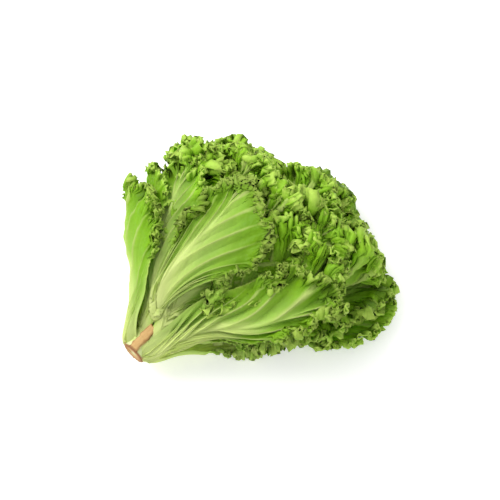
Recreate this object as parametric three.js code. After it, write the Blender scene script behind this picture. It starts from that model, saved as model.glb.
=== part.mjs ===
// Head of green loose-leaf lettuce, cut at the stem and lying on its side.
//
// A short tapered stem carries six rings of leaves, the outer ring lowest on the stem.
// Every leaf follows one sheet of a nest of oval sheets that open out from the stem like a fan,
// so that neighbours never touch: the nest is flat where it lies on the ground, domed on top
// and wide at both sides. Leaves are plain curved shells here, without the frill of their margins.
//
// Frame: +X runs from the cut stem to the leaf tips, +Y to the left of it, +Z up.
// The origin is on the ground, under the middle of the head. Millimetres and degrees.

import * as THREE from "three";

// Stem
const STEM_RADIUS = 11; // at the cut
const STEM_END_RADIUS = 3.2; // where the heart leaves grow from it
const STEM_LENGTH = 74;
const SCAR_LENGTH = 24; // flat scar on top of the stem, where a lower leaf was pulled off
const SCAR_DEPTH = 1.3;
const SCAR_SIDE = 20; // outer leaves within this many degrees of the scar grow above it
const SCAR_WIDENS = 34; // and each ring further in does so this many degrees wider
const SCAR_EDGE = 12; // degrees over which the effect of the scar ends
const SCAR_FADE = 0.5; // share of that effect that is gone at the heart

// Head
const HEAD_REACH = 258; // longest leaf tip, measured from the cut
const REACH_LEAN = -50; // direction of the longest leaves, seen from above
const REACH_FALL = 0.0105; // how fast the reach falls off to either side of that, mm per square degree
const SIDE_SPREAD = 0.62; // how much wider the head gets to one side per mm along it
const SPREAD_START = 8; // the stalks stay close together from this far behind the cut
const SPREAD_END = 110; // and are spread in full from here on
const TOP_SPREAD = 66; // how far the top sheet domes above the packed stalks
const TOP_SPREAD_LENGTH = 150; // length over which most of that dome is reached
const AXIS_RISE = 0.1; // how much the axis climbs per mm along it
const APEX_BEHIND = 16; // the fan of leaves opens from a point this far behind the cut
const FLAT_BOTTOM = 0.5; // roundness of the lower half: 1 is an oval, less is flatter
const PRESSED_FLAT = 2.5; // how far the ground presses the lowest leaves out level

// Leaves
const RIB_THICKNESS = 2.6; // along the middle of a leaf, at its base
const BLADE_THICKNESS = 1.4; // at its margin and its tip
const SHEET_GAP = 0.7; // free space between one leaf's rib and the next leaf
const STEM_CLEARANCE = 0.4; // between a leaf's base and the stem
const SIDE_CLEARANCE = 2; // between the margins of two leaves of one ring
const LIFT_LENGTH = 26; // a stalk leaves the stem and reaches its own sheet within this length
const FIRST_LEAF = 6; // height on the stem of the outer ring
const RING_STEP = 9; // each further ring grows this much higher on the stem
const STALK_HALF_WIDTH = 8; // of the stalk, where it has left the stem
const BASE_HALF_ANGLE = 16; // of the stem's circumference that a leaf's base holds
const TIP_ROUND = 0.16; // how much shorter a leaf is at its corners than at its middle

// Each ring: how many leaves, the direction of its first one (0 is up, 90 is left),
// the share of the head's reach, the share by which its top leaves end short and its lower ones
// reach further, and the half width of its widest place in millimetres.
const RINGS = [
  { name: "outer_leaf", count: 5, start: 14, reach: 0.84, arch: 0.16, halfWidth: 62 },
  { name: "second_leaf", count: 6, start: 50, reach: 0.91, arch: 0.06, halfWidth: 60 },
  { name: "third_leaf", count: 6, start: 20, reach: 0.96, arch: 0.06, halfWidth: 56 },
  { name: "fourth_leaf", count: 5, start: 50, reach: 1.0, arch: 0.06, halfWidth: 50 },
  { name: "inner_leaf", count: 4, start: 35, reach: 0.97, arch: 0.06, halfWidth: 42 },
  { name: "heart_leaf", count: 3, start: 80, reach: 0.9, arch: 0.06, halfWidth: 34 },
];

// Mesh density
const ALONG = 10;
const ACROSS = 6;
const STEM_SIDES = 24;

const COLOURS = { leaf: 0x6fae1e, heart: 0xa9cf4a, stem: 0xc9d68a };

const PITCH = RIB_THICKNESS + SHEET_GAP;
const STACK = RINGS.length * PITCH; // thickness of all the stalks lying on each other
const AXIS_HEIGHT = STEM_RADIUS + STACK;

const radians = THREE.MathUtils.degToRad;
const { clamp, lerp, smoothstep } = THREE.MathUtils;

function stemRadius(along) {
  return lerp(STEM_RADIUS, STEM_END_RADIUS, clamp(along / STEM_LENGTH, 0, 1));
}

// Height of the head's axis above the ground.
function axisHeight(along) {
  return AXIS_HEIGHT + AXIS_RISE * along;
}

// Free spread of the outermost sheet beyond the packed stalks, in each direction.
function sideSpread(along) {
  return SIDE_SPREAD * along * smoothstep(along, -SPREAD_START, SPREAD_END);
}

function topSpread(along) {
  return TOP_SPREAD * (1 - Math.exp(-along / TOP_SPREAD_LENGTH));
}

function bottomSpread(along) {
  return axisHeight(along) - stemRadius(along) - STACK + PRESSED_FLAT;
}

// A point of a ring's sheet. angle is 0 at the top and 90 on the left side; along is the distance
// from the cut; attach is where the leaf leaves the stem.
function sheetPoint(ring, attach, along, angle) {
  const inside = RINGS.length - 1 - ring;
  const share = (inside + 1) / RINGS.length;
  const climb = clamp((along - attach) / LIFT_LENGTH, 0, 1);
  const lift = 1 - (1 - climb) ** 2;
  const rest = stemRadius(along) + STEM_CLEARANCE + RIB_THICKNESS / 2;
  const radius = (spread) => rest + lift * (inside * PITCH + share * spread);

  const turn = radians(angle);
  const up = Math.cos(turn);
  const side = radius(sideSpread(along)) * Math.sin(turn);
  const height = up > 0
    ? radius(topSpread(along)) * up
    : -radius(bottomSpread(along)) * (-up) ** lerp(1, FLAT_BOTTOM, lift);
  const fan = along + APEX_BEHIND;
  const direction = Math.asin(clamp(side / fan, -0.95, 0.95));
  return new THREE.Vector3(
    fan * Math.cos(direction) - APEX_BEHIND,
    fan * Math.sin(direction),
    axisHeight(along) + height,
  );
}

// Where on the stem a leaf grows: ring by ring up the stem, and above the scar on the scar's side.
function attachment(ring, angle) {
  const fromTop = Math.abs(THREE.MathUtils.euclideanModulo(angle + 180, 360) - 180);
  const side = SCAR_SIDE + ring * SCAR_WIDENS;
  const aboveScar = SCAR_LENGTH * (1 - smoothstep(fromTop, side, side + SCAR_EDGE));
  return FIRST_LEAF + ring * RING_STEP + aboveScar * (1 - SCAR_FADE * (ring / RINGS.length));
}

// How far leaves reach from the cut in the direction of a leaf.
function reachTowards(ring, angle) {
  const outward = sheetPoint(ring, 0, HEAD_REACH * 0.8, angle);
  const direction = THREE.MathUtils.radToDeg(Math.atan2(outward.y, outward.x + APEX_BEHIND));
  const arched = 1 - RINGS[ring].arch * Math.cos(radians(angle));
  return arched * (HEAD_REACH - REACH_FALL * (direction - REACH_LEAN) ** 2);
}

// Half width of a leaf in millimetres: a narrow stalk that opens into a broad blade.
function halfWidth(widest, share) {
  const blade = smoothstep(share, 0.15, 0.95);
  return lerp(STALK_HALF_WIDTH, widest, blade);
}

function leafGeometry(ring, index) {
  const { count, start, reach, halfWidth: widest } = RINGS[ring];
  const middle = start + (index * 360) / count;
  const attach = attachment(ring, middle);
  const tip = reach * reachTowards(ring, middle);

  const centre = (share, across) => {
    const end = tip * (1 - TIP_ROUND * across ** 2);
    const along = lerp(attach, end, share);
    const edge = sheetPoint(ring, attach, along, middle + 1);
    const perDegree = edge.distanceTo(sheetPoint(ring, attach, along, middle));
    const climbed = smoothstep(along - attach, 0, LIFT_LENGTH);
    const room = lerp(BASE_HALF_ANGLE, 180 / count - SIDE_CLEARANCE / 2 / perDegree, climbed);
    const wide = Math.min(halfWidth(widest, share) / perDegree, room);
    return sheetPoint(ring, attach, along, middle + across * wide);
  };
  const thickness = (share, across) =>
    lerp(RIB_THICKNESS, BLADE_THICKNESS, Math.max(share, Math.abs(across)));
  const normal = (share, across) => {
    const step = 0.01;
    const forward = centre(share + step, across).sub(centre(share - step, across));
    const sideways = centre(share, across + step).sub(centre(share, across - step));
    return forward.cross(sideways).normalize();
  };

  const points = [];
  for (const face of [0.5, -0.5]) {
    for (let i = 0; i <= ALONG; i++) {
      for (let k = 0; k <= ACROSS; k++) {
        const share = i / ALONG;
        const across = (2 * k) / ACROSS - 1;
        const offset = face * thickness(share, across);
        const point = centre(share, across).addScaledVector(normal(share, across), offset);
        points.push(point.x, point.y, Math.max(point.z, face < 0 ? thickness(share, across) : 0));
      }
    }
  }
  return closedShell(points, ALONG, ACROSS);
}

// Joins two grids of points, the outer face and then the inner one, into one closed body.
function closedShell(points, rows, columns) {
  const faceSize = (rows + 1) * (columns + 1);
  const at = (face, i, k) => face * faceSize + i * (columns + 1) + k;
  const triangles = [];
  const quad = (a, b, c, d) => triangles.push(a, b, c, a, c, d);
  for (let i = 0; i < rows; i++) {
    for (let k = 0; k < columns; k++) {
      quad(at(0, i, k), at(0, i + 1, k), at(0, i + 1, k + 1), at(0, i, k + 1));
      quad(at(1, i, k), at(1, i, k + 1), at(1, i + 1, k + 1), at(1, i + 1, k));
    }
    quad(at(0, i, 0), at(1, i, 0), at(1, i + 1, 0), at(0, i + 1, 0));
    quad(at(0, i, columns), at(0, i + 1, columns), at(1, i + 1, columns), at(1, i, columns));
  }
  for (let k = 0; k < columns; k++) {
    quad(at(0, 0, k), at(0, 0, k + 1), at(1, 0, k + 1), at(1, 0, k));
    quad(at(0, rows, k), at(1, rows, k), at(1, rows, k + 1), at(0, rows, k + 1));
  }
  return new THREE.BufferGeometry()
    .setAttribute("position", new THREE.Float32BufferAttribute(points, 3))
    .setIndex(triangles);
}

// The stem, turned about its own axis, with the flat leaf scar on top.
function stemGeometry() {
  const rings = 12;
  const profile = [new THREE.Vector2(0, 0)];
  for (let i = 0; i <= rings; i++) {
    const along = (STEM_LENGTH * i) / rings;
    profile.push(new THREE.Vector2(stemRadius(along), along));
  }
  profile.push(new THREE.Vector2(0, STEM_LENGTH));
  const geometry = new THREE.LatheGeometry(profile, STEM_SIDES);
  geometry.rotateZ(-Math.PI / 2); // the lathe's own axis now points along +X
  const position = geometry.getAttribute("position");
  for (let i = 0; i < position.count; i++) {
    const along = position.getX(i);
    const flat = along <= SCAR_LENGTH ? stemRadius(along) - SCAR_DEPTH : Infinity;
    position.setZ(i, axisHeight(along) + Math.min(position.getZ(i), flat));
  }
  return geometry;
}

function material(name, colour, roughness) {
  return new THREE.MeshStandardMaterial({ name, color: colour, roughness, metalness: 0 });
}

function buildHead() {
  const head = new THREE.Group();
  const leafFinish = material("leaf", COLOURS.leaf, 0.45);
  const heartFinish = material("heart_leaf", COLOURS.heart, 0.45);

  const stem = new THREE.Mesh(stemGeometry(), material("stem", COLOURS.stem, 0.6));
  stem.name = "stem";
  head.add(stem);

  RINGS.forEach(({ name, count }, ring) => {
    const finish = ring < RINGS.length - 1 ? leafFinish : heartFinish;
    for (let index = 0; index < count; index++) {
      const leaf = new THREE.Mesh(leafGeometry(ring, index), finish);
      leaf.name = `${name}_${index + 1}`;
      head.add(leaf);
    }
  });

  // Puts the origin on the ground, under the middle of the head.
  const box = new THREE.Box3().setFromObject(head);
  const middle = box.getCenter(new THREE.Vector3());
  head.position.set(-middle.x, -middle.y, -box.min.z);

  const part = new THREE.Group();
  part.name = "lettuce_head";
  part.add(head);
  return part;
}

export default buildHead();
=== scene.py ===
"""Head of green loose-leaf lettuce, cut at the stem and lying on its side.

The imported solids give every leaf's place; here each of them is replaced by a thin leaf with a
pale fleshy stalk, branching veins and a margin that has grown too long for its blade, so that it
folds into frills upon frills. Lengths are in millimetres until a mesh is made, angles in degrees.
"""

import logging
import math
from collections.abc import Iterator
from dataclasses import dataclass
from enum import Enum
from typing import Any

import bmesh
import bpy
import numpy as np
from mathutils import Matrix, Vector


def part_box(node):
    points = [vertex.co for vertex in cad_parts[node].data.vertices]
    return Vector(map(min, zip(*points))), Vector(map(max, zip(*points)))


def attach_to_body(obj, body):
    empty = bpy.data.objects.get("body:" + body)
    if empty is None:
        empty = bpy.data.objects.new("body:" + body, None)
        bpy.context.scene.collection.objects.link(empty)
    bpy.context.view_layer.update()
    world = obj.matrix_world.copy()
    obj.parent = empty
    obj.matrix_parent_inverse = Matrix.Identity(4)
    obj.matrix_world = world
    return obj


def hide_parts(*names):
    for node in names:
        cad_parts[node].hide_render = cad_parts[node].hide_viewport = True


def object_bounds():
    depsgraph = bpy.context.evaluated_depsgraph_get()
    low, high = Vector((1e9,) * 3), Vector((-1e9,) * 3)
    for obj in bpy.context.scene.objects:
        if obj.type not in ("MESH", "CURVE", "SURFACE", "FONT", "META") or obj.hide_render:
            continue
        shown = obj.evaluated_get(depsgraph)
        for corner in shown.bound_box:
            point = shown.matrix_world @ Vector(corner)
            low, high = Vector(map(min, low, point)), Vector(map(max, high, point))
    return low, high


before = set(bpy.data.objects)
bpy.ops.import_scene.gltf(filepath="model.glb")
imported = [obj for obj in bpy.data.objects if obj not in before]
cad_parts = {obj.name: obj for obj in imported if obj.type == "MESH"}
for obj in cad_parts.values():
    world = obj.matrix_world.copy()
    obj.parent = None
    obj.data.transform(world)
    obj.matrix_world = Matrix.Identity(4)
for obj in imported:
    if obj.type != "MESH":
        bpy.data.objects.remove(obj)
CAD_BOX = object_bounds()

LOG = logging.getLogger("lettuce")
MM = 0.001
BODY = "root"
Array = np.ndarray


class Slot(Enum):
    """The paint slots that a piece can belong to."""

    LEAF = "leaf"
    HEART_LEAF = "heart_leaf"
    STEM = "stem"


def smoothstep(value: Array, low: float, high: float) -> Array:
    """Returns 0 below low, 1 above high, and a smooth rise between them."""
    share = np.clip((value - low) / (high - low), 0.0, 1.0)
    return share * share * (3.0 - 2.0 * share)


def unit(vectors: Array) -> Array:
    """Returns the vectors with a length of one."""
    length = np.linalg.norm(vectors, axis=-1, keepdims=True)
    return vectors / np.maximum(length, 1e-9)


@dataclass(frozen=True)
class Wander:
    """A smooth random line: values of about -1 to 1, one knot every step."""

    seed: int
    step: float
    knots: int = 4096
    first: float = 64.0

    def at(self, place: Array) -> Array:
        """Reads the line.

        Args:
            place: distances along it.

        Returns:
            The line's value at each of them.
        """
        values = np.random.default_rng(self.seed).uniform(-1.0, 1.0, self.knots)
        where = np.asarray(place) / self.step + self.first
        left = np.floor(where).astype(int)
        share = smoothstep(where - left, 0.0, 1.0)
        return values[left % self.knots] * (1.0 - share) + values[(left + 1) % self.knots] * share


@dataclass(frozen=True)
class Swell:
    """A smooth random height over space: the sum of plane waves of about one length."""

    seed: int
    length: float
    waves: int = 7

    def at(self, points: Array) -> Array:
        """Reads the height.

        Args:
            points: places in space.

        Returns:
            The height at each of them, of about -1 to 1.
        """
        draw = np.random.default_rng(self.seed)
        total = np.zeros(points.shape[:-1])
        for _ in range(self.waves):
            heading = unit(draw.normal(size=3))
            number = 2.0 * math.pi / (self.length * draw.uniform(0.7, 1.5))
            total += np.sin(points @ heading * number + draw.uniform(0.0, 2.0 * math.pi))
        return total / math.sqrt(self.waves)


@dataclass(frozen=True)
class Ring:
    """One ring of leaves: the same values as the solids have."""

    name: str
    count: int
    start: float
    reach: float
    arch: float
    half_width: float


RINGS = (
    Ring("outer_leaf", 5, 14.0, 0.84, 0.16, 62.0),
    Ring("second_leaf", 6, 50.0, 0.91, 0.06, 60.0),
    Ring("third_leaf", 6, 20.0, 0.96, 0.06, 56.0),
    Ring("fourth_leaf", 5, 50.0, 1.0, 0.06, 50.0),
    Ring("inner_leaf", 4, 35.0, 0.97, 0.06, 42.0),
    Ring("heart_leaf", 3, 80.0, 0.9, 0.06, 34.0),
)


@dataclass(frozen=True)
class HeadShape:
    """The nest of oval sheets that the leaves lie on, measured from the cut end of the stem."""

    stem_radius: float = 11.0
    stem_end_radius: float = 3.2
    stem_length: float = 74.0
    scar_length: float = 24.0
    scar_side: float = 20.0
    scar_widens: float = 34.0
    scar_edge: float = 12.0
    scar_fade: float = 0.5
    head_reach: float = 258.0
    reach_lean: float = -50.0
    reach_fall: float = 0.0105
    side_spread: float = 0.62
    spread_start: float = 8.0
    spread_end: float = 110.0
    top_spread: float = 66.0
    top_spread_length: float = 150.0
    axis_rise: float = 0.1
    apex_behind: float = 16.0
    flat_bottom: float = 0.5
    pressed_flat: float = 2.5
    rib_thickness: float = 2.6
    sheet_gap: float = 0.7
    stem_clearance: float = 0.4
    lift_length: float = 60.0
    first_leaf: float = 6.0
    ring_step: float = 9.0

    @property
    def pitch(self) -> float:
        """Distance between two packed stalks."""
        return self.rib_thickness + self.sheet_gap

    @property
    def stack(self) -> float:
        """Thickness of all the stalks lying on each other."""
        return len(RINGS) * self.pitch

    @property
    def cut(self) -> Vector:
        """The ground below the middle of the stem's cut end, in the frame, in millimetres."""
        low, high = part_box("stem")
        return Vector((low[0] / MM, (low[1] + high[1]) / 2.0 / MM, low[2] / MM - self.stack))

    def stem_at(self, along: Array) -> Array:
        """Returns the stem's radius."""
        share = np.clip(along / self.stem_length, 0.0, 1.0)
        return self.stem_radius + (self.stem_end_radius - self.stem_radius) * share

    def axis_height(self, along: Array) -> Array:
        """Returns the height of the head's axis above the ground."""
        return self.stem_radius + self.stack + self.axis_rise * along

    def sheet(self, ring: float, attach: float, along: Array, angle: Array) -> Array:
        """Finds points of a ring's sheet.

        Args:
            ring: 0 for the outer ring; a share between two rings lies between their sheets.
            attach: where the leaf leaves the stem.
            along: distance from the cut.
            angle: direction around the axis, 0 on top and 90 on the left.

        Returns:
            The points, with their place from the cut end of the stem.
        """
        inside = len(RINGS) - 1 - ring
        share = (inside + 1) / len(RINGS)
        climb = np.clip((along - attach) / self.lift_length, 0.0, 1.0)
        lift = 1.0 - (1.0 - climb) ** 2
        rest = self.stem_at(along) + self.stem_clearance + self.rib_thickness / 2.0
        widening = smoothstep(along, -self.spread_start, self.spread_end)
        side_spread = self.side_spread * along * widening
        top_spread = self.top_spread * (1.0 - np.exp(-along / self.top_spread_length))
        ground = self.axis_height(along) - self.stem_at(along) - self.stack
        bottom_spread = ground + self.pressed_flat
        side_radius, top_radius, bottom_radius = (
            rest + lift * (inside * self.pitch + share * spread)
            for spread in (side_spread, top_spread, bottom_spread)
        )
        turn = np.radians(angle)
        up = np.cos(turn)
        side = side_radius * np.sin(turn)
        flat = 1.0 + (self.flat_bottom - 1.0) * lift
        below = -bottom_radius * np.maximum(-up, 0.0) ** flat
        height = np.where(up > 0.0, top_radius * up, below)
        fan = along + self.apex_behind
        direction = np.arcsin(np.clip(side / np.maximum(fan, 1.0), -0.95, 0.95))
        return np.stack(
            [
                fan * np.cos(direction) - self.apex_behind,
                fan * np.sin(direction),
                self.axis_height(along) + height,
            ],
            axis=-1,
        )

    def attachment(self, ring: int, angle: float) -> float:
        """Finds where on the stem a leaf grows: above the scar on the scar's side.

        Args:
            ring: the leaf's ring.
            angle: the leaf's direction around the axis.

        Returns:
            The distance from the cut.
        """
        from_top = abs((angle + 180.0) % 360.0 - 180.0)
        side = self.scar_side + ring * self.scar_widens
        above = self.scar_length * (1.0 - float(smoothstep(from_top, side, side + self.scar_edge)))
        fade = 1.0 - self.scar_fade * ring / len(RINGS)
        return self.first_leaf + ring * self.ring_step + above * fade

    def tip(self, ring: int, angle: float) -> float:
        """Finds how far a leaf reaches.

        Args:
            ring: the leaf's ring.
            angle: the leaf's direction around the axis.

        Returns:
            The distance of its tip from the cut.
        """
        outward = self.sheet(ring, 0.0, np.array(self.head_reach * 0.8), np.array(angle))
        direction = math.degrees(math.atan2(outward[1], outward[0] + self.apex_behind))
        arched = 1.0 - RINGS[ring].arch * math.cos(math.radians(angle))
        longest = self.head_reach - self.reach_fall * (direction - self.reach_lean) ** 2
        return RINGS[ring].reach * arched * longest


SHAPE = HeadShape()


@dataclass(frozen=True)
class Frill:
    """One size of fold in a leaf's margin."""

    length: float
    height: float
    depth: float
    lean: float
    seed: int


FRILLS = (
    Frill(length=46.0, height=6.0, depth=46.0, lean=0.05, seed=11),
    Frill(length=14.5, height=3.6, depth=28.0, lean=0.12, seed=14),
    Frill(length=5.8, height=2.3, depth=20.0, lean=0.14, seed=17),
)


@dataclass(frozen=True)
class LeafPlan:
    """What sets one leaf apart: where it grows, how it opens and how pale and frilled it is."""

    name: str
    ring: int
    angle: float
    half_width: float
    seed: int
    length_share: float = 1.0
    base_turn: float = 0.0
    frill_depth: float = 1.0
    curl: float = 40.0
    curl_length: float = 24.0
    left: float = 1.0
    right: float = 1.0
    pleats: float = 2.0
    blister: float = 1.6
    stalk: float = 11.0
    vein_pitch: float = 20.0
    vein_pale: float = 0.5
    vein_angle: float = 36.0
    pale_spread: float = 0.8
    pale_length: float = 0.3
    narrow_until: float = 0.1
    frill_from: float = 0.22
    frill_left: float = 1.0
    frill_right: float = 1.0
    lean: float = 0.0
    sink: float = 0.0
    proud: float = 0.0
    # How much painted shade darkens the blade between the veins towards the margin.
    shade: float = 0.0
    base: float | None = None
    lift_from: float | None = None
    columns: int = 600
    rows: int = 12

    @property
    def attach(self) -> float:
        """Distance from the cut to where the stalk grows."""
        return SHAPE.attachment(self.ring, self.angle) if self.base is None else self.base


@dataclass(frozen=True)
class LeafMap:
    """Where every point of a leaf lies before it is shaped.

    across is -1 at the foot of the right margin, 0 at the tip and 1 at the foot of the left one.
    flat holds the distance from the cut and the distance to the left of the midrib, arc is the
    distance along the margin and inset the distance in from it. share is the place on the margin
    where the point's vein ends, reach the way along that vein, and rise the way up the leaf, all
    from 0 to 1.
    """

    across: Array
    flat: Array
    arc: Array
    inset: Array
    share: Array
    reach: Array
    rise: Array

    @property
    def from_foot(self) -> Array:
        """Distance along the leaf from the foot of its stalk."""
        return self.flat[..., 0] - self.flat[0, 0, 0]


@dataclass(frozen=True)
class LeafParts:
    """How strongly each point belongs to the leaf's rib, veins, pleats, frills and teeth."""

    rib: Array
    rib_height: Array
    vein: Array
    pleat: Array
    frilled: Array
    toothed: Array


@dataclass(frozen=True)
class LeafGrower:
    """Grows the meshes of all leaves from their plans.

    A pair of numbers is where something starts and where it is complete. Their names say of what:
    stem is the distance from the cut, rise and rib the share of the leaf's length from its foot,
    margin the share of its margin from the foot, and reach the share of the way from the midrib
    to the margin. The pairs of the folds are lengths.
    """

    turn_length: float = 60.0
    stem_lean: tuple[float, float] = (30.0, 130.0)
    stem_sink: tuple[float, float] = (20.0, 110.0)
    tilt: float = 0.16
    tilt_length: float = 90.0
    most_tilt: float = 0.3
    foot_flare: float = 0.2
    foot_flare_share: float = 0.05
    widest_at: float = 0.78
    rounded_from: float = 0.66
    rounded_length: float = 0.34
    margin_sides: tuple[float, float] = (0.05, 0.3)
    margin_frilled: tuple[float, float] = (0.2, 0.4)
    plain_density: float = 0.4
    last_vein: float = 0.85
    rib_narrows: tuple[float, float] = (0.05, 0.85)
    rib_narrowing: float = 0.82
    rib_sinks: tuple[float, float] = (0.0, 0.8)
    rib_sinking: float = 0.85
    margin_tip: tuple[float, float] = (0.78, 1.0)
    frill_starts: float = 0.2
    reach_frilled: tuple[float, float] = (0.12, 0.5)
    margin_veined: tuple[float, float] = (0.15, 0.35)
    reach_veined: tuple[float, float] = (0.0, 0.16)
    reach_vein_ends: tuple[float, float] = (0.5, 1.0)
    reach_pleat_ends: tuple[float, float] = (0.45, 0.95)
    rise_pleated: tuple[float, float] = (0.1, 0.28)
    rise_sunk: tuple[float, float] = (0.0, 0.3)
    rise_proud: tuple[float, float] = (0.0, 0.22)
    rise_crinkled: tuple[float, float] = (0.2, 0.5)
    rise_blistered: tuple[float, float] = (0.3, 0.55)
    rise_pale_ends: tuple[float, float] = (0.5, 0.85)
    reach_shaded: tuple[float, float] = (0.3, 0.8)
    fold_depth: tuple[float, float] = (-3.0, 6.0)
    fold_inset: tuple[float, float] = (0.5, 4.0)
    foot_thickens: float = 7.0
    blade_thickness: float = 0.45
    stalk_thickness: float = 5.0
    thickness_levels: int = 40
    vein_height: float = 0.6
    stalk_sink: float = 3.2
    foot_sink: float = 5.0
    foot_length: float = 8.0
    swell_length: float = 46.0
    swell_height: float = 2.2
    crinkle_length: float = 9.0
    smooth_blister: float = 0.5
    curl_unevenness: float = 0.6
    tooth_pitch: float = 4.2
    tooth_height: float = 1.7
    tooth_length: float = 2.6
    # Widths of the painted light along the frilled margin: a sharp line and a broad band.
    painted_light_line: float = 1.8
    painted_light_band: float = 16.0
    brown_foot: float = 1.5
    lowest: float = 1.8
    behind_cut: float = 0.1
    side_room: float = 6.0
    soft_stop: float = 6.0
    weld: float = 0.00002
    outline_steps: int = 600

    def per_degree(self, plan: LeafPlan, attach: float, along: Array) -> Array:
        """Measures one degree around the head at a leaf's middle.

        Args:
            plan: the leaf.
            attach: where the leaf leaves the stem.
            along: distances from the cut.

        Returns:
            The length of a degree at each of them.
        """
        middle = np.full_like(along, plan.angle)
        step = SHAPE.sheet(plan.ring, attach, along, middle + 1.0)
        return np.linalg.norm(step - SHAPE.sheet(plan.ring, attach, along, middle), axis=-1)

    def on_sheet(self, plan: LeafPlan, flat: Array) -> Array:
        """Lays a flat leaf on its sheet.

        Args:
            plan: the leaf.
            flat: points as distance from the cut and distance to the left of the midrib.

        Returns:
            The points in space, from the cut end of the stem.
        """
        along, lateral = flat[..., 0], flat[..., 1]
        attach = plan.attach
        turn = plan.base_turn * (1.0 - smoothstep(along, attach, attach + self.turn_length))
        turn = turn + plan.lean * smoothstep(along, *self.stem_lean)
        attach = attach if plan.lift_from is None else plan.lift_from
        tilt = self.tilt * lateral / plan.half_width
        tilt = tilt * smoothstep(along, attach, attach + self.tilt_length)
        tilt = np.clip(tilt, -self.most_tilt, self.most_tilt)
        spread = self.per_degree(plan, attach, np.maximum(along, attach + 1.0))
        ring = plan.ring + tilt + plan.sink * smoothstep(along, *self.stem_sink)
        return SHAPE.sheet(ring, attach, along, plan.angle + turn + lateral / spread)

    def outline(self, plan: LeafPlan) -> tuple[Array, Array, float]:
        """Draws half of a leaf's outline, from the foot of its stalk to its tip.

        Args:
            plan: the leaf.

        Returns:
            Distance along the leaf as a share of its length, half width, and the leaf's length.
        """
        length = (SHAPE.tip(plan.ring, plan.angle) - plan.attach) * plan.length_share
        turn = np.linspace(0.0, 1.0, self.outline_steps)
        share = np.sin(turn * math.pi / 2.0) ** 1.15
        stalk = plan.stalk * (1.0 + self.foot_flare * np.exp(-share / self.foot_flare_share))
        blade = smoothstep(share, plan.narrow_until, self.widest_at)
        width = stalk + (plan.half_width - stalk) * blade
        closing = np.clip((share - self.rounded_from) / self.rounded_length, 0.0, 1.0)
        return share, width * np.sqrt(np.maximum(1.0 - closing**2.6, 0.0)), length

    def lay_out(self, plan: LeafPlan, across: Array, out: Array) -> LeafMap:
        """Maps the grid's two coordinates to the flat leaf.

        The grid's columns run along the margin, closest where it is frilled, and its rows along
        the veins, which leave the midrib at the plan's angle and bow towards the tip.

        Args:
            plan: the leaf.
            across: -1 at the foot of the right margin, 0 at the tip, 1 at the left foot.
            out: 0 on the midrib and 1 at the margin.

        Returns:
            The place of every point.
        """
        share, width, length = self.outline(plan)
        steps = np.hypot(np.diff(share * length), np.diff(width))
        arc = np.concatenate([[0.0], np.cumsum(steps)])
        plain = self.plain_density
        density = plain + (1.0 - plain) * smoothstep(share, *self.margin_frilled)
        count = np.concatenate([[0.0], np.cumsum((density[1:] + density[:-1]) / 2.0 * steps)])
        margin_arc = np.interp(1.0 - np.abs(across), count / count[-1], arc)
        end_share = np.interp(margin_arc, arc, share)
        end_width = np.interp(margin_arc, arc, width)
        start = end_share - end_width / (length * math.tan(math.radians(plan.vein_angle)))
        last = self.last_vein
        start = last * np.tanh(np.maximum(start, 0.0) / last) / math.tanh(1.0 / last)
        inward = 1.0 - out
        reach = 1.0 - (0.32 * inward + 0.68 * inward**2)
        bow = 1.28 * reach - 0.28 * reach**2
        rise = start + (end_share - start) * bow
        side = np.where(across < 0.0, plan.right, plan.left)
        half = end_width * (1.0 + (side - 1.0) * smoothstep(end_share, *self.margin_sides))
        lateral = np.sign(across) * half * (0.8 * reach + 0.2 * reach**2)
        return LeafMap(
            across=across,
            flat=np.stack([plan.attach + length * rise, lateral], axis=-1),
            arc=np.where(across < 0.0, margin_arc, 2.0 * arc[-1] - margin_arc),
            inset=np.hypot(length * (end_share - start), half) * (1.0 - reach),
            share=end_share,
            reach=reach,
            rise=rise,
        )

    def find_parts(self, plan: LeafPlan, leaf: LeafMap) -> LeafParts:
        """Finds the rib, the veins, the pleats between them, the frills and the teeth.

        Args:
            plan: the leaf.
            leaf: the place of every point.

        Returns:
            How strongly each point belongs to them.
        """
        narrowed = self.rib_narrowing * smoothstep(leaf.rise, *self.rib_narrows)
        rib_half = plan.stalk * (1.0 - narrowed)
        sunk = self.rib_sinking * smoothstep(leaf.rise, *self.rib_sinks)
        side = np.where(leaf.across < 0.0, plan.frill_right, plan.frill_left)
        side = 1.0 + (side - 1.0) * (1.0 - smoothstep(leaf.share, *self.margin_tip))
        full = plan.frill_from + self.frill_starts
        frilled = smoothstep(leaf.share, plan.frill_from, full) * side
        wander = 0.3 * Wander(plan.seed + 40, 30.0).at(leaf.arc)
        place = leaf.arc / plan.vein_pitch + wander
        from_vein = np.abs(place - np.round(place)) * 2.0
        veined = smoothstep(leaf.share, *self.margin_veined)
        veined = veined * smoothstep(leaf.reach, *self.reach_veined)
        vein = np.clip(1.0 - from_vein / (0.5 - 0.36 * leaf.reach), 0.0, 1.0) * veined
        pleated = veined * (1.0 - smoothstep(leaf.reach, *self.reach_pleat_ends))
        return LeafParts(
            rib=np.sqrt(np.clip(1.0 - (leaf.flat[..., 1] / rib_half) ** 2, 0.0, 1.0)),
            rib_height=self.stalk_thickness * (1.0 - sunk),
            vein=vein * (1.0 - smoothstep(leaf.reach, *self.reach_vein_ends)),
            pleat=(0.5 - from_vein) * pleated * smoothstep(leaf.rise, *self.rise_pleated),
            frilled=frilled * smoothstep(leaf.reach, *self.reach_frilled),
            toothed=smoothstep(leaf.share, *self.margin_frilled),
        )

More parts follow.
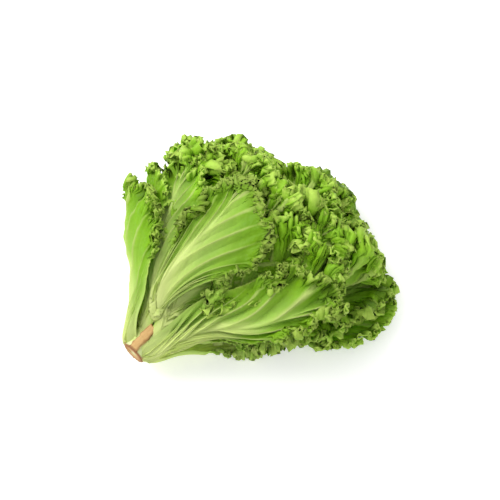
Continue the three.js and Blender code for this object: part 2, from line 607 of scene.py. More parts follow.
    def raise_relief(
        self, plan: LeafPlan, leaf: LeafMap, parts: LeafParts, points: Array, normal: Array
    ) -> Array:
        """Raises the rib, the veins and the pleats, and crinkles the blade between them.

        Args:
            plan: the leaf.
            leaf: the place of every point.
            parts: the leaf's parts.
            points: the smooth leaf on its sheet.
            normal: the sheet's outward direction at each point.

        Returns:
            The leaf with its relief.
        """
        swell = self.swell_height * Swell(plan.seed + 9, self.swell_length).at(points) * leaf.reach
        points = points + normal * swell[..., None]
        sunk = self.stalk_sink * (1.0 - smoothstep(leaf.rise, *self.rise_sunk))
        sunk = sunk + self.foot_sink * np.exp(-((leaf.from_foot / self.foot_length) ** 2))
        relief = parts.rib * parts.rib_height - sunk
        relief = relief + self.vein_height * parts.vein + plan.pleats * parts.pleat
        relief = relief + plan.proud * smoothstep(leaf.rise, *self.rise_proud)
        points = points + normal * relief[..., None]
        crinkle = Swell(plan.seed + 10, self.crinkle_length, 9).at(points) * (1.0 - parts.rib)
        crinkle = crinkle * smoothstep(leaf.rise, *self.rise_crinkled) * leaf.reach
        blistered = smoothstep(leaf.rise, *self.rise_blistered)
        rough = (plan.blister - self.smooth_blister) * blistered
        return points + normal * ((self.smooth_blister + rough) * crinkle)[..., None]

    def margin_length(self, points: Array) -> Array:
        """Returns the length of the folded margin up to each column."""
        steps = np.linalg.norm(np.diff(points[-1], axis=0), axis=-1)
        return np.concatenate([[0.0], np.cumsum(steps)])[None, :]

    def reflex(self, plan: LeafPlan, leaf: LeafMap, parts: LeafParts, points: Array) -> Array:
        """Bends a leaf's margin back, out of its sheet.

        Args:
            plan: the leaf, with the bend's angle and length.
            leaf: the place of every point.
            parts: the leaf's parts.
            points: the leaf so far, in rows by columns.

        Returns:
            The bent points.
        """
        outward = unit(np.gradient(points, axis=0))
        normal = unit(np.cross(outward, unit(np.gradient(points, axis=1))))
        past = np.maximum(plan.curl_length - leaf.inset, 0.0)
        uneven = 1.0 + self.curl_unevenness * Wander(plan.seed + 30, 26.0).at(leaf.arc)
        turn = math.radians(plan.curl) * uneven * parts.frilled + 1e-4
        radius = plan.curl_length / turn
        along = past - radius * np.sin(past / radius)
        rise = radius * (1.0 - np.cos(past / radius))
        return points + normal * rise[..., None] - outward * along[..., None]

    def fold(
        self, plan: LeafPlan, leaf: LeafMap, parts: LeafParts, points: Array, frill: Frill
    ) -> Array:
        """Folds one size of frill into a leaf.

        The folds follow the length that the margin has by now, so a later, smaller size rides on
        the slopes of the larger ones.

        Args:
            plan: the leaf.
            leaf: the place of every point.
            parts: the leaf's parts.
            points: the leaf so far, in rows by columns.
            frill: the folds' sizes.

        Returns:
            The folded points.
        """
        along_margin = unit(np.gradient(points, axis=1))
        normal = unit(np.cross(unit(np.gradient(points, axis=0)), along_margin))
        inset = leaf.inset / (frill.depth * plan.frill_depth)
        fade = np.clip(1.0 - inset, 0.0, 1.0) ** 1.35
        arc = self.margin_length(points)
        seed = plan.seed + frill.seed
        drift = 0.45 * Wander(seed, frill.length * 1.7).at(arc)
        uneven = 1.0 + 0.45 * Wander(seed + 1, frill.length * 1.3).at(arc)
        skew = 0.3 * Wander(seed + 2, frill.length * 2.5).at(arc) * inset
        phase = 2.0 * math.pi * (arc / frill.length + drift + skew)
        height = frill.height * fade * uneven * parts.frilled * np.sin(phase)
        shift = -frill.lean * frill.length * fade * parts.frilled * np.sin(2.0 * phase)
        return points + normal * height[..., None] + along_margin * shift[..., None]

    def cut_teeth(self, plan: LeafPlan, leaf: LeafMap, parts: LeafParts, points: Array) -> Array:
        """Draws the margin out into uneven teeth.

        Args:
            plan: the leaf.
            leaf: the place of every point.
            parts: the leaf's parts.
            points: the frilled leaf, in rows by columns.

        Returns:
            The toothed points.
        """
        outward = unit(np.gradient(points, axis=0))
        arc = self.margin_length(points)
        place = arc / self.tooth_pitch + 1.2 * Wander(plan.seed + 20, 7.0).at(arc)
        tooth = np.abs(place % 1.0 - 0.5)
        uneven = 0.7 + 0.7 * Wander(plan.seed + 21, 5.0).at(arc)
        near = np.clip(1.0 - leaf.inset / self.tooth_length, 0.0, 1.0) * uneven * parts.toothed
        return points + outward * (near * self.tooth_height * (2.0 * tooth - 0.4))[..., None]

    def keep_inside(self, points: Array) -> Array:
        """Holds a leaf above the ground and inside the head's outline, with a soft stop.

        Args:
            points: the leaf, from the cut end of the stem.

        Returns:
            The points in the frame, in millimetres.
        """
        place = points + np.array(SHAPE.cut)
        low = np.array(CAD_BOX[0]) / MM - self.side_room
        high = np.array(CAD_BOX[1]) / MM + self.side_room
        low[0] = SHAPE.cut[0] + self.behind_cut
        low[2] = self.lowest
        soft = self.soft_stop
        over = np.maximum(place - (high - soft), 0.0)
        place = place - over + soft * (1.0 - np.exp(-over / soft))
        reach = np.array([1.0, soft, 0.01])
        under = np.maximum(low + reach - place, 0.0)
        return place + under - reach * (1.0 - np.exp(-under / reach))

    def marks(
        self, plan: LeafPlan, leaf: LeafMap, parts: LeafParts, points: Array, sunken: Array
    ) -> tuple[Array, Array]:
        """Says where a leaf is pale, veined and browned, where light is painted on its frilled
        margin and where shade is painted in its folds, for its finish.

        Args:
            plan: the leaf.
            leaf: the place of every point.
            parts: the leaf's parts.
            points: the finished leaf in the frame.
            sunken: how deep in a fold each point lies.

        Returns:
            The marks, and the place along and across the leaf with the painted shade.
        """
        rise, reach, inset = leaf.rise, leaf.reach, leaf.inset
        pale = np.clip(parts.rib * 1.2, 0.0, 1.0) * (1.0 - 0.4 * rise)
        pale = pale * (1.0 - smoothstep(rise, *self.rise_pale_ends))
        pale = np.maximum(pale, plan.pale_spread * (1.0 - reach) ** 1.6 * (1.0 - 0.7 * rise))
        pale = np.maximum(pale, 0.95 * np.exp(-((rise / plan.pale_length) ** 2)))
        pale = np.maximum(pale, plan.vein_pale * parts.vein)
        # Painted light along the thin frilled margin, where light shines through it: a sharp line
        # at the rim and a broader band inside.
        line = 0.65 * np.clip(1.6 - inset / self.painted_light_line, 0.0, 1.0)
        band = 0.35 * np.clip(1.0 - inset / self.painted_light_band, 0.0, 1.0)
        painted_edge_light = (line + band) * parts.toothed
        # Painted shade: deep green in the troughs of the folds, and on the blade between the veins
        # towards the margin as far as the plan's shade asks.
        painted_shade = smoothstep(sunken, *self.fold_depth) * parts.frilled
        painted_shade = painted_shade * smoothstep(inset, *self.fold_inset)
        between = smoothstep(reach, *self.reach_shaded) * (1.0 - parts.vein)
        painted_shade = np.maximum(painted_shade, plan.shade * between)
        from_cut = points[..., 0] - SHAPE.cut[0]
        foot = np.exp(-((from_cut / self.brown_foot) ** 2)) * (leaf.share < 0.1)
        marks = np.stack([np.clip(pale, 0.0, 1.0), parts.vein, painted_edge_light, foot], axis=-1)
        return marks, np.concatenate([leaf.flat * MM, painted_shade[..., None]], axis=-1)

    def surface(
        self, plan: LeafPlan, across: Array, out: Array
    ) -> tuple[Array, Array, Array, Array]:
        """Grows a leaf's outer face.

        Args:
            plan: the leaf.
            across: the grid's coordinate along the margin.
            out: the grid's coordinate from the midrib to the margin.

        Returns:
            The points in the frame, the marks, the place with the painted shade, and the thickness.
        """
        leaf = self.lay_out(plan, across, out)
        parts = self.find_parts(plan, leaf)
        points = self.on_sheet(plan, leaf.flat)
        ahead = self.on_sheet(plan, leaf.flat + np.array([1.0, 0.0]))
        beside = self.on_sheet(plan, leaf.flat + np.array([0.0, 1.0]))
        normal = unit(np.cross(ahead - points, beside - points))
        points = self.raise_relief(plan, leaf, parts, points, normal)
        points = self.reflex(plan, leaf, parts, points)
        unfolded = points
        for frill in FRILLS:
            points = self.fold(plan, leaf, parts, points, frill)
        sunken = -np.sum((points - unfolded) * normal, axis=-1)
        points = self.keep_inside(self.cut_teeth(plan, leaf, parts, points))
        marks, place = self.marks(plan, leaf, parts, points, sunken)
        fleshy = parts.rib * parts.rib_height * (1.0 - leaf.rise) ** 2
        thick = self.blade_thickness + fleshy * smoothstep(leaf.from_foot, 0.0, self.foot_thickens)
        return points, marks, place, thick

    def grow(self, plan: LeafPlan) -> bpy.types.Object:
        """Makes one leaf's mesh object.

        Args:
            plan: the leaf.

        Returns:
            The leaf, with live thickness and no finish yet.
        """
        mesh = bpy.data.meshes.new(plan.name)
        body = bmesh.new()
        bmesh.ops.create_grid(body, x_segments=plan.columns, y_segments=plan.rows, size=1.0)
        body.to_mesh(mesh)
        body.free()
        grid = np.empty(len(mesh.vertices) * 3)
        mesh.vertices.foreach_get("co", grid)
        grid = grid.reshape(plan.rows + 1, plan.columns + 1, 3)
        surface = self.surface(plan, grid[..., 0], (grid[..., 1] + 1.0) / 2.0)
        points, marks, place, thick = surface
        mesh.vertices.foreach_set("co", (points * MM).reshape(-1))
        # The third of the marks is the painted light along the frilled margin.
        colour = mesh.attributes.new("leaf_marks", "FLOAT_COLOR", "POINT")
        colour.data.foreach_set("color", marks.reshape(-1))
        # The third value of the place is the painted shade.
        where = mesh.attributes.new("leaf_place", "FLOAT_VECTOR", "POINT")
        where.data.foreach_set("vector", place.reshape(-1))
        weight = mesh.attributes.new("thick", "FLOAT", "POINT")
        weight.data.foreach_set("value", (thick / self.stalk_thickness).reshape(-1))
        mesh.polygons.foreach_set("use_smooth", np.ones(len(mesh.polygons), dtype=bool))

        # The two halves meet on the midrib; the grid's faces look into the head until turned.
        body = bmesh.new()
        body.from_mesh(mesh)
        bmesh.ops.remove_doubles(body, verts=body.verts, dist=self.weld)
        bmesh.ops.reverse_faces(body, faces=body.faces)
        body.to_mesh(mesh)
        body.free()
        leaf = bpy.data.objects.new(plan.name, mesh)
        bpy.context.collection.objects.link(leaf)
        self.thicken(leaf)
        return leaf

    def thicken(self, leaf: bpy.types.Object) -> None:
        """Gives a leaf its thickness, inwards from its outer face.

        Args:
            leaf: the leaf, whose attribute "thick" holds the thickness as a share of a stalk's.
        """
        mesh = leaf.data
        share = np.empty(len(mesh.vertices))
        mesh.attributes["thick"].data.foreach_get("value", share)
        most = self.thickness_levels
        levels = np.clip(np.round(share * most), 2, most).astype(int)
        group = leaf.vertex_groups.new(name="thickness")
        for level in np.unique(levels):
            group.add(np.flatnonzero(levels == level).tolist(), level / most, "REPLACE")
        mesh.attributes.remove(mesh.attributes["thick"])
        shell = leaf.modifiers.new("thickness", "SOLIDIFY")
        shell.thickness = self.stalk_thickness * MM
        shell.offset = -1.0
        shell.vertex_group = group.name


FINE = {"columns": 1500, "rows": 15}
FINER = {"columns": 1300, "rows": 15}
FINEST = {"columns": 1800, "rows": 16}
PLAIN = {"columns": 1200, "rows": 14}
RUFFLED = FINEST | {"curl": 34.0, "frill_depth": 1.2, "blister": 2.2}

# The leaves that are seen have their own shape; the others keep what their ring gives them.
TRAITS: dict[str, dict[str, float | int]] = {
    "outer_leaf_1": FINE | {
        "half_width": 45.0, "left": 0.5, "right": 1.15, "length_share": 1.04, "narrow_until": 0.0,
        "base": 27.0, "lift_from": 20.0, "lean": -9.0, "proud": 9.5, "stalk": 6.5, "curl": 12.0,
        "frill_from": 0.4, "frill_depth": 0.6, "blister": 0.9, "pleats": 2.6, "vein_pitch": 15.0,
        "vein_angle": 20.0, "vein_pale": 0.7, "pale_spread": 1.3, "shade": 0.55, "rows": 20,
    },
    "outer_leaf_2": FINE | {
        "half_width": 38.0, "right": 1.15, "length_share": 1.06, "narrow_until": -0.1,
        "base": 0.6, "sink": 0.35, "stalk": 15.0, "curl": 12.0, "frill_from": 0.42,
        "frill_depth": 0.7, "frill_right": 0.9, "blister": 1.1, "pleats": 2.5,
        "vein_angle": 24.0, "vein_pale": 0.6, "shade": 0.25,
    },
    "outer_leaf_3": {"half_width": 50.0, "curl": 0.0, "base": 0.6},
    "outer_leaf_4": {
        "half_width": 54.0, "left": 0.88, "narrow_until": 0.6, "base": 0.6, "base_turn": -20.0,
        "curl": 10.0, "columns": 1200,
    },
    "outer_leaf_5": FINE | {
        "half_width": 38.0, "right": 0.4, "length_share": 0.9, "narrow_until": -0.1,
        "base": 0.6, "base_turn": -18.0, "stalk": 14.0, "frill_from": 0.58,
        "frill_depth": 0.8, "blister": 0.8, "pleats": 6.0, "vein_pitch": 22.0,
        "vein_angle": 22.0, "vein_pale": 0.85, "pale_spread": 1.1, "shade": 0.35, "rows": 20,
    },
    "second_leaf_1": FINER | {
        "half_width": 44.0, "right": 0.8, "base": 0.6, "base_turn": 6.0, "lift_from": 20.0,
        "sink": 0.3, "stalk": 10.0, "curl": 20.0, "frill_from": 0.38, "frill_depth": 0.7,
        "blister": 0.8, "vein_pitch": 16.0, "vein_angle": 26.0, "vein_pale": 0.8,
        "pale_spread": 1.5,
    },
    "second_leaf_2": FINER | {
        "half_width": 50.0, "curl": 16.0, "frill_from": 0.5, "frill_depth": 0.5,
        "frill_left": 0.8, "frill_right": 0.5, "blister": 0.8, "vein_pitch": 16.0,
        "vein_angle": 26.0, "vein_pale": 0.8, "pale_spread": 1.4,
    },
    "second_leaf_4": PLAIN | {"left": 0.8},
    "second_leaf_5": RUFFLED | {
        "right": 0.42, "length_share": 0.8, "lean": 12.0, "frill_right": 0.5,
    },
    "second_leaf_6": FINEST | {
        "left": 0.75, "length_share": 0.91, "base": 0.6, "base_turn": -40.0, "lift_from": 20.0,
        "sink": 0.35, "stalk": 10.0, "curl": 30.0, "frill_depth": 1.1, "blister": 2.0,
        "pale_length": 0.2, "pale_spread": 0.45,
    },
    "third_leaf_1": FINEST | {"length_share": 0.95, "curl": 34.0},
    "third_leaf_2": PLAIN,
    "third_leaf_5": RUFFLED | {"length_share": 0.92},
    "third_leaf_6": RUFFLED | {"length_share": 0.87},
    "fourth_leaf_4": PLAIN | {"length_share": 0.89, "frill_depth": 1.4},
    "fourth_leaf_5": RUFFLED | {"length_share": 0.96, "frill_depth": 1.1},
    "inner_leaf_4": {"columns": 1000, "rows": 14},
}


def linear(colour: str) -> tuple[float, float, float, float]:
    """Turns an sRGB colour to linear.

    Args:
        colour: the colour as a hex value, such as #A8E010.

    Returns:
        Linear red, green, blue and alpha.
    """
    shares = [int(colour[i : i + 2], 16) / 255.0 for i in (1, 3, 5)]
    red, green, blue = (
        share / 12.92 if share <= 0.04045 else ((share + 0.055) / 1.055) ** 2.4 for share in shares
    )
    return red, green, blue, 1.0


def add_node(
    tree: bpy.types.NodeTree, kind: str, settings: dict[str | int, Any], links: dict[str | int, Any]
) -> bpy.types.Node:
    """Adds a node with its settings and links.

    Args:
        tree: the nodes to add to.
        kind: the node's type.
        settings: values of its inputs, by name or number, and of its properties.
        links: the sockets that feed its inputs, by name or number.

    Returns:
        The node.
    """
    node = tree.nodes.new(kind)
    for key, value in settings.items():
        if isinstance(key, int) or key in node.inputs:
            node.inputs[key].default_value = value
        else:
            setattr(node, key, value)
    for key, source in links.items():
        tree.links.new(source, node.inputs[key])
    return node


def new_material(name: str) -> bpy.types.Material:
    """Starts a material.

    Args:
        name: the material's name.

    Returns:
        The material, with an empty node tree.
    """
    material = bpy.data.materials.new(name)
    material.use_nodes = True
    material.node_tree.nodes.clear()
    return material


@dataclass(frozen=True)
class LeafFinish:
    """Living lettuce leaf, grown and waxy.

    To the eye it is a fresh yellow-green with a soft sheen, lit through where it is thin, paler
    and streaked along the rib and light on the veins, with painted light along the frilled margin
    and painted shade, deep green, in the folds and between the veins of some blades.
    """

    name: str = "lettuce_leaf_fresh_waxy"
    deep: str = "#78BA00"
    blade: str = "#A8E010"
    pale: str = "#E2EE98"
    vein: str = "#C0DA58"
    # Painted light along the frilled margin.
    painted_edge_light: str = "#ECFE84"
    # Painted shade in the troughs of the folds and between the veins of some blades.
    painted_shade: str = "#1E4C00"
    through: str = "#A6DC00"
    foot: str = "#A4713C"
    vein_cover: float = 0.7
    painted_edge_light_cover: float = 0.6
    painted_shade_cover: float = 0.68
    patch_size: float = 22.0
    cell_size: float = 3.0
    streak_width: float = 2.4
    streak_stretch: float = 0.06
    relief: float = 1.0
    relief_strength: float = 0.6
    roughness: float = 0.45
    ior: float = 1.42
    specular: float = 0.25
    light_through: float = 0.38

    def build(self) -> bpy.types.Material:
        """Makes the material.

        Returns:
            The material, which reads the attributes leaf_marks and leaf_place.
        """
        material = new_material(self.name)
        tree = material.node_tree
        space = add_node(tree, "ShaderNodeTexCoord", {}, {}).outputs["Object"]
        marks = add_node(tree, "ShaderNodeAttribute", {"attribute_name": "leaf_marks"}, {})
        split = add_node(tree, "ShaderNodeSeparateColor", {}, {0: marks.outputs["Color"]})
        place = add_node(tree, "ShaderNodeAttribute", {"attribute_name": "leaf_place"}, {})
        place_split = add_node(tree, "ShaderNodeSeparateXYZ", {}, {0: place.outputs["Vector"]})
        pale, vein, painted_edge_light = split.outputs[0], split.outputs[1], split.outputs[2]
        painted_shade, foot = place_split.outputs[2], marks.outputs["Alpha"]

        # Patches a fingertip wide, then cells on the blade and streaks along the rib. The cells
        # stand for the finest net of veins and are drawn coarser than it is, so that they show.
        patch = add_node(
            tree, "ShaderNodeTexNoise", {"Scale": 1.0 / (self.patch_size * MM), "Detail": 3.0},
            {"Vector": space},
        )
        cell = add_node(
            tree, "ShaderNodeTexVoronoi",
            {"Scale": 1.0 / (self.cell_size * MM), "feature": "SMOOTH_F1"}, {"Vector": space},
        )
        drawn_out = add_node(
            tree, "ShaderNodeMapping", {"Scale": (self.streak_stretch, 1.0, 1.0)},
            {"Vector": place.outputs["Vector"]},
        )
        streak = add_node(
            tree, "ShaderNodeTexNoise", {"Scale": 1.0 / (self.streak_width * MM), "Detail": 2.0},
            {"Vector": drawn_out.outputs[0]},
        )
        colour = add_node(
            tree, "ShaderNodeMix",
            {"data_type": "RGBA", 6: linear(self.deep), 7: linear(self.blade)},
            {0: patch.outputs["Fac"]},
        ).outputs[2]
        # Of these coats, the second is painted light along the frilled margin and the fourth is
        # painted shade in the folds; the rest are the leaf's own colours.
        coats = (
            (vein, self.vein_cover, self.vein),
            (painted_edge_light, self.painted_edge_light_cover, self.painted_edge_light),
            (pale, 1.0, self.pale),
            (painted_shade, self.painted_shade_cover, self.painted_shade),
            (foot, 1.0, self.foot),
        )
        for where, cover, coat in coats:
            share = add_node(
                tree, "ShaderNodeMath", {"operation": "MULTIPLY", "use_clamp": True, 1: cover},
                {0: where},
            )
            colour = add_node(
                tree, "ShaderNodeMix", {"data_type": "RGBA", 7: linear(coat)},
                {0: share.outputs[0], 6: colour},
            ).outputs[2]
        relief = add_node(
            tree, "ShaderNodeMix", {"data_type": "FLOAT"},
            {0: pale, 2: cell.outputs["Distance"], 3: streak.outputs["Fac"]},
        )
        bump = add_node(
            tree, "ShaderNodeBump",
            {"Strength": self.relief_strength, "Distance": self.relief * MM},
            {"Height": relief.outputs[0]},
        )
        skin = add_node(
            tree, "ShaderNodeBsdfPrincipled",
            {
                "Roughness": self.roughness, "IOR": self.ior,
                "Specular IOR Level": self.specular,
            },
            {"Base Color": colour, "Normal": bump.outputs[0]},
        )
        lit = add_node(
            tree, "ShaderNodeMix",
            {"data_type": "RGBA", 6: linear(self.through), 7: linear(self.pale)}, {0: pale},
        )
        # The painted shade darkens the light through the leaf as well.
        lit = add_node(
            tree, "ShaderNodeMix", {"data_type": "RGBA", 7: linear(self.painted_shade)},
            {0: painted_shade, 6: lit.outputs[2]},
        )
        thin = add_node(
            tree, "ShaderNodeBsdfTranslucent", {},
            {"Color": lit.outputs[2], "Normal": bump.outputs[0]},
        )
        both = add_node(
            tree, "ShaderNodeMixShader", {0: self.light_through},
            {1: skin.outputs[0], 2: thin.outputs[0]},
        )
        add_node(tree, "ShaderNodeOutputMaterial", {}, {0: both.outputs[0]})
        return material


@dataclass(frozen=True)
class StemFinish:
    """Lettuce stem, cut with a knife and dried.

    To the eye it is pale green flesh, matt and tan brown on the cut face and on the scar, with a
    dark line where each of them ends.
    """

    name: str = "lettuce_stem_cut_and_dried"
    flesh: str = "#CBD79A"
    cut: str = "#BE9058"
    scar: str = "#C6A76C"
    line: str = "#7C4820"
    evenness: float = 0.72
    grain_size: float = 1.4
    patch_size: float = 3.8
    relief: float = 0.5
    relief_strength: float = 0.5
    roughness: float = 0.68
    ior: float = 1.42

    def build(self) -> bpy.types.Material:
        """Makes the material.

        Returns:
            The material, which reads the attribute stem_marks.
        """
        material = new_material(self.name)
        tree = material.node_tree
        space = add_node(tree, "ShaderNodeTexCoord", {}, {}).outputs["Object"]
        marks = add_node(tree, "ShaderNodeAttribute", {"attribute_name": "stem_marks"}, {})
        split = add_node(tree, "ShaderNodeSeparateColor", {}, {0: marks.outputs["Color"]})

        # The dried cells of the cut and the blotches on it, at about their real size.
        grain = add_node(
            tree, "ShaderNodeTexNoise", {"Scale": 1.0 / (self.grain_size * MM), "Detail": 4.0},
            {"Vector": space},
        ).outputs["Fac"]
        patch = add_node(
            tree, "ShaderNodeTexNoise", {"Scale": 1.0 / (self.patch_size * MM), "Detail": 3.0},
            {"Vector": space},
        ).outputs["Fac"]
        blotched = add_node(
            tree, "ShaderNodeMix",
            {"data_type": "RGBA", 6: linear(self.line), 7: linear(self.cut)}, {0: patch},
        ).outputs[2]
        face = add_node(
            tree, "ShaderNodeMix", {"data_type": "RGBA", 0: self.evenness, 7: linear(self.cut)},
            {6: blotched},
        ).outputs[2]
        scar = add_node(
            tree, "ShaderNodeMix", {"data_type": "RGBA", 7: linear(self.scar)}, {0: grain, 6: face},
        ).outputs[2]
        colour = add_node(
            tree, "ShaderNodeMix", {"data_type": "RGBA", 6: linear(self.flesh)},
            {0: split.outputs[1], 7: scar},
        ).outputs[2]
        colour = add_node(
            tree, "ShaderNodeMix", {"data_type": "RGBA"}, {0: split.outputs[0], 6: colour, 7: face},
        ).outputs[2]
        colour = add_node(
            tree, "ShaderNodeMix", {"data_type": "RGBA", 7: linear(self.line)},
            {0: split.outputs[2], 6: colour},
        ).outputs[2]
        bump = add_node(
            tree, "ShaderNodeBump",
            {"Strength": self.relief_strength, "Distance": self.relief * MM}, {"Height": grain},
        )
        flesh = add_node(
            tree, "ShaderNodeBsdfPrincipled", {"Roughness": self.roughness, "IOR": self.ior},
            {"Base Color": colour, "Normal": bump.outputs[0]},
        )
        add_node(tree, "ShaderNodeOutputMaterial", {}, {0: flesh.outputs[0]})
        return material


@dataclass(frozen=True)
class PaperFinish:
    """White studio paper, matt: an even ground that glows a little, so that shadows stay pale."""

    name: str = "paper_white_matt"
    colour: str = "#EDEDED"
    light: str = "#FFFFFF"
    roughness: float = 0.9
    glow: float = 0.34

    def build(self) -> bpy.types.Material:
        """Makes the material.

        Returns:
            The material.
        """
        material = new_material(self.name)
        settings = {
            "Base Color": linear(self.colour), "Roughness": self.roughness,
            "Emission Color": linear(self.light), "Emission Strength": self.glow,
        }
        paper = add_node(material.node_tree, "ShaderNodeBsdfPrincipled", settings, {})
        add_node(material.node_tree, "ShaderNodeOutputMaterial", {}, {0: paper.outputs[0]})
        return material


@dataclass(frozen=True)
class Stem:
    """The short stem: browned where it was cut, with the dry scar of a pulled leaf on top."""

    rim: float = 11.2
    cut_start: float = 0.6
    scar_half: float = 4.6
    scar_rise: float = 2.2
    scar_climb: float = 0.1
    past_scar: float = 3.0
    roughness: float = 0.28
    dished_cut: tuple[tuple[float, float], ...] = ((0.5, 0.0), (0.1, 3.0), (-0.3, 6.5))
    weld: float = 0.001
    steps: int = 96
    rings: int = 70

    def profile(self) -> list[tuple[float, float]]:
        """Draws the stem's outline.

        Returns:
            Distance from the cut and radius, from the middle of the dished cut to the far end.
        """
        outline = [*self.dished_cut, (-0.5, self.rim - 1.6), (-0.2, self.rim - 0.5)]
        for ring in range(self.rings + 1):
            along = self.cut_start + (SHAPE.stem_length - self.cut_start) * ring / self.rings
            radius = float(SHAPE.stem_at(np.array(along)))
            outline.append((along, radius + self.rim - SHAPE.stem_radius))
        outline.append((SHAPE.stem_length + 1.0, 0.0))
        return outline

    def build(self) -> bpy.types.Object:
        """Makes the stem by turning its outline about its axis.

        Returns:
            The stem, without a finish yet.
        """
        body = bmesh.new()
        verts = [body.verts.new((along, 0.0, radius)) for along, radius in self.profile()]
        edges = [body.edges.new(pair) for pair in zip(verts, verts[1:])]
        bmesh.ops.spin(
            body, geom=verts + edges, cent=(0, 0, 0), axis=(1, 0, 0), angle=2.0 * math.pi,
            steps=self.steps, use_merge=True,
        )
        bmesh.ops.remove_doubles(body, verts=body.verts, dist=self.weld)
        bmesh.ops.recalc_face_normals(body, faces=body.faces)
        mesh = bpy.data.meshes.new("stem.core")
        body.to_mesh(mesh)
        body.free()
        points = np.empty(len(mesh.vertices) * 3)
        mesh.vertices.foreach_get("co", points)
        points, marks = self.weather(points.reshape(-1, 3))
        mesh.vertices.foreach_set("co", (points * MM).reshape(-1))
        colour = mesh.attributes.new("stem_marks", "FLOAT_COLOR", "POINT")
        colour.data.foreach_set("color", marks.reshape(-1))
        mesh.polygons.foreach_set("use_smooth", np.ones(len(mesh.polygons), dtype=bool))
        stem = bpy.data.objects.new("stem.core", mesh)
        bpy.context.collection.objects.link(stem)
        return stem

    def weather(self, points: Array) -> tuple[Array, Array]:
        """Raises the scar, roughens the cut and lays the stem in its place.

        Args:
            points: the smooth stem, along the X axis from its cut.

        Returns:
            The points in the frame, and the marks of cut, scar and dark line.
        """
        along, side = points[:, 0], points[:, 1]
        radius = np.hypot(side, points[:, 2])
        wavy = Swell(5, 5.0).at(points) * 0.5
        half = self.scar_half + wavy
        end = SHAPE.scar_length + self.past_scar + wavy
        strip = smoothstep(half - np.abs(side), -0.4, 0.5) * smoothstep(points[:, 2], 0.0, 4.0)
        scar = strip * smoothstep(end - along, -0.5, 0.5) * smoothstep(along, -0.2, 0.6)
        line = strip * np.exp(-(((along - end) / 0.9) ** 2))
        cut = smoothstep(0.45 - along, 0.0, 0.6)
        rim = np.exp(-(((radius - self.rim + 0.8) / 1.1) ** 2)) * smoothstep(1.6 - along, 0.0, 1.0)
        brink = 0.6 * np.exp(-(((np.abs(side) - half + 0.7) / 0.6) ** 2)) * scar
        rough = self.roughness * Swell(6, 2.6, 9).at(points) * (cut + 0.6 * scar)
        lift = scar * (self.scar_rise + self.scar_climb * along) + 0.7 * line
        out = points + np.array(SHAPE.cut)
        out[:, 0] += rough * cut
        out[:, 2] += lift * smoothstep(along, -0.3, 2.0) + rough * scar + SHAPE.axis_height(along)
        dark = np.clip(line + rim + brink, 0.0, 1.0)
        return out, np.stack([cut, scar, dark, np.ones_like(cut)], axis=-1)


@dataclass(frozen=True)
class Head:
    """The head of lettuce: the stem and its leaves, ring by ring, each with its finish."""

    stem: Stem = Stem()
    grower: LeafGrower = LeafGrower()
    stem_finish: StemFinish = StemFinish()
    leaf_finish: LeafFinish = LeafFinish()

    def plans(self) -> list[LeafPlan]:
        """Plans the leaves.

        Returns:
            The plan of every leaf, from the outer ring to the heart.
        """
        plans = []
        for ring, row in enumerate(RINGS):
            for index in range(row.count):
                name = f"{row.name}_{index + 1}"
                traits = {"half_width": row.half_width} | TRAITS.get(name, {})
                angle = row.start + index * 360.0 / row.count
                seed = 1000 * (ring + 1) + 100 * index
                plans.append(LeafPlan(f"{name}.leaf", ring, angle, seed=seed, **traits))
        return plans

    def place(
        self, piece: bpy.types.Object, finish: bpy.types.Material, node: str, slot: Slot
    ) -> bpy.types.Object:
        """Gives a piece its finish and puts it in the place of its solid.

        Args:
            piece: the piece.
            finish: its material.
            node: the solid that it replaces.
            slot: its paint slot; not used.

        Returns:
            The piece.
        """
        piece.data.materials.append(finish)
        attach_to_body(piece, BODY)
        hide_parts(node)
        return piece

    def build(self) -> Iterator[bpy.types.Object]:
        """Makes the stem and the leaves.

        Yields:
            Each piece, when it is in its place.
        """
        yield self.place(self.stem.build(), self.stem_finish.build(), "stem", Slot.STEM)
        finish = self.leaf_finish.build()
        for plan in self.plans():
            slot = Slot.HEART_LEAF if RINGS[plan.ring].name == "heart_leaf" else Slot.LEAF
            yield self.place(self.grower.grow(plan), finish, plan.name.removesuffix(".leaf"), slot)


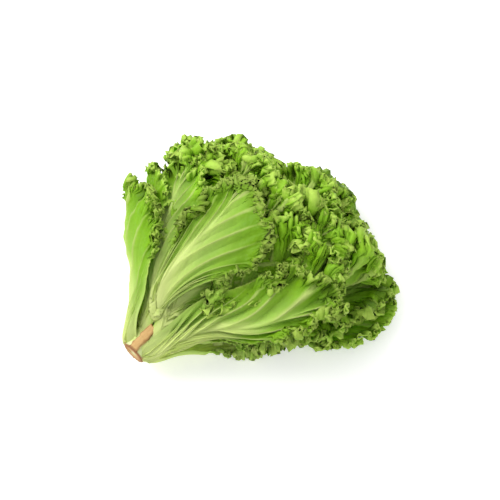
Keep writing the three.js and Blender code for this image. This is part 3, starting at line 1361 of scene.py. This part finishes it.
@dataclass(frozen=True)
class Studio:
    """A plain pale floor, one large soft lamp, an even sky and the camera, in metres."""

    azimuth: float = -47.0
    elevation: float = 66.0
    distance: float = 1.6
    view_width: float = 0.435
    film_width: float = 36.0
    aim_right: float = 0.1014
    aim_up: float = 0.090
    floor_half: float = 3.0
    lamp_power: float = 25.0
    lamp_size: float = 1.2
    lamp_right: float = -1.0
    lamp_forward: float = 0.525
    lamp_above: float = 1.21
    sky: float = 0.93
    paper: PaperFinish = PaperFinish()

    @property
    def axes(self) -> tuple[Vector, Vector, Vector]:
        """The camera's directions.

        Returns:
            Its right, up and backward directions.
        """
        azimuth, elevation = math.radians(self.azimuth), math.radians(self.elevation)
        right = Vector((math.cos(azimuth), math.sin(azimuth), 0.0))
        level = Vector((math.sin(azimuth), -math.cos(azimuth), 0.0))
        back = level * math.cos(elevation) + Vector((0.0, 0.0, math.sin(elevation)))
        return right, back.cross(right), back

    @property
    def target(self) -> Vector:
        """The point that the camera looks at.

        Returns:
            The middle of its view.
        """
        right, up, _ = self.axes
        cut = (SHAPE.cut + Vector((0.0, 0.0, SHAPE.stack + SHAPE.stem_radius))) * MM
        return cut + right * self.aim_right + up * self.aim_up

    def lay_floor(self) -> bpy.types.Object:
        """Lays the floor.

        Returns:
            The floor.
        """
        mesh = bpy.data.meshes.new("floor")
        sheet = bmesh.new()
        bmesh.ops.create_grid(sheet, x_segments=1, y_segments=1, size=self.floor_half)
        sheet.to_mesh(mesh)
        sheet.free()
        mesh.materials.append(self.paper.build())
        floor = bpy.data.objects.new("floor", mesh)
        bpy.context.collection.objects.link(floor)
        return floor

    def set_camera(self) -> bpy.types.Object:
        """Sets up the camera.

        Returns:
            The camera.
        """
        data = bpy.data.cameras.new("camera")
        data.lens = self.film_width * self.distance / self.view_width
        camera = bpy.data.objects.new("camera", data)
        turn = Matrix(self.axes).transposed().to_4x4()
        camera.matrix_world = Matrix.Translation(self.target + self.axes[2] * self.distance) @ turn
        bpy.context.collection.objects.link(camera)
        bpy.context.scene.camera = camera
        return camera

    def hang_lamp(self) -> bpy.types.Object:
        """Hangs the lamp behind the head on the left, facing it.

        Returns:
            The lamp.
        """
        data = bpy.data.lights.new("softbox", "AREA")
        data.energy = self.lamp_power
        data.size = self.lamp_size
        lamp = bpy.data.objects.new("softbox", data)
        right = self.axes[0]
        forward = Vector((-right.y, right.x, 0.0))
        above = Vector((0.0, 0.0, self.lamp_above))
        offset = right * self.lamp_right + forward * self.lamp_forward + above
        turn = offset.to_track_quat("Z", "Y").to_matrix().to_4x4()
        lamp.matrix_world = Matrix.Translation(self.target + offset) @ turn
        bpy.context.collection.objects.link(lamp)
        return lamp

    def light_sky(self) -> bpy.types.World:
        """Lights the sky evenly.

        Returns:
            The world.
        """
        world = bpy.data.worlds.new("studio")
        world.use_nodes = True
        background = world.node_tree.nodes["Background"]
        background.inputs["Color"].default_value = linear("#FFFFFF")
        background.inputs["Strength"].default_value = self.sky
        bpy.context.scene.world = world
        bpy.context.scene.view_settings.view_transform = "Standard"
        return world

    def build(self) -> Iterator[bpy.types.ID]:
        """Makes the studio.

        Yields:
            Each of its pieces.
        """
        yield self.lay_floor()
        yield self.set_camera()
        yield self.hang_lamp()
        yield self.light_sky()


def main() -> None:
    """Builds the head and its studio, and reports each piece."""
    logging.basicConfig(level=logging.INFO, format="%(message)s")
    for piece in Head().build():
        LOG.info("%s: %d points", piece.name, len(piece.data.vertices))
    for piece in Studio().build():
        LOG.info("%s", piece.name)


if __name__ == "__main__":
    main()
